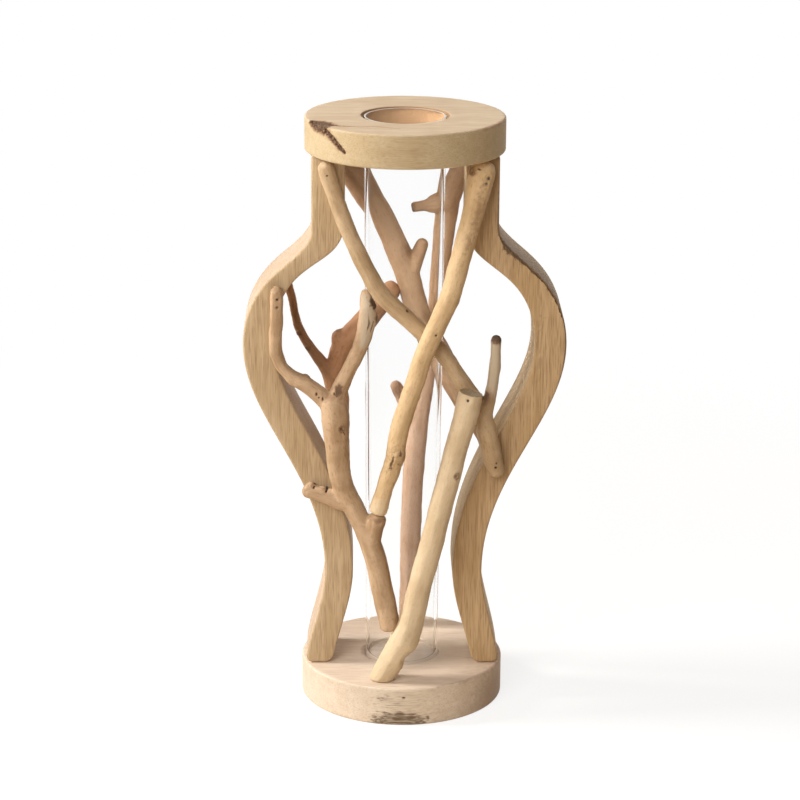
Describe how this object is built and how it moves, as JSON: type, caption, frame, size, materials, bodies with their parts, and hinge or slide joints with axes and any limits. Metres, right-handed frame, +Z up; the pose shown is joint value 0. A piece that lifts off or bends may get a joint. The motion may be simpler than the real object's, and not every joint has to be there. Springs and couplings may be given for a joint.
{
  "type": "wooden vase",
  "caption": "Free-standing flower vase: a lift-out glass tube between curved wooden side frames, under a wooden ring and on a round base, with driftwood branches nailed across.",
  "frame": {"origin": "middle of the base's underside", "axes": "+Z up along the glass tube, -Y towards the front, +X to the right seen from the front"},
  "size_m": [0.1623, 0.104, 0.305],
  "materials": {
    "frame_wood": "sanded, unvarnished",
    "branch_wood": "peeled, weathered",
    "glass": "clear, polished",
    "dowel_wood": "plain",
    "steel": "plain"
  },
  "bodies": {
    "frame": {"base_disc": "frame_wood", "top_ring": "frame_wood", "left_side_frame": "frame_wood", "right_side_frame": "frame_wood", "front_cross_branch": "branch_wood", "front_foot_branch": "branch_wood", "front_fork_branch": "branch_wood", "front_upper_branch": "branch_wood", "back_cross_branch": "branch_wood", "back_upper_branch": "branch_wood", "back_foot_branch": "branch_wood", "back_fork_branch": "branch_wood", "dowel_left_front": "dowel_wood", "dowel_left_back": "dowel_wood", "dowel_right_front": "dowel_wood", "dowel_right_back": "dowel_wood", "frame_screw_left_front": "steel", "frame_screw_left_back": "steel", "frame_screw_right_front": "steel", "frame_screw_right_back": "steel", "foot_screw_front": "steel", "foot_screw_back": "steel", "brad_front_cross_top": "steel", "brad_front_cross_foot": "steel", "brad_front_upper_top": "steel", "brad_front_upper_low": "steel", "brad_front_fork_top": "steel", "brad_front_fork_low": "steel", "brad_front_fork_stub": "steel", "brad_front_fork_crotch": "steel", "brad_back_cross_top": "steel", "brad_back_cross_foot": "steel", "brad_back_upper_top": "steel", "brad_back_fork_twig": "steel", "brad_back_fork_trunk": "steel", "brad_front_crossing": "steel", "brad_front_foot_head": "steel", "brad_back_crossing": "steel", "brad_back_foot_head": "steel", "brad_front_fork_foot": "steel"},
    "tube": {"glass_tube": "glass"}
  },
  "joints": [
    {"name": "tube_lift", "type": "slide", "parent": "frame", "child": "tube", "axis": [0, 0, 1], "range_m": [0, 0.29]}
  ]
}
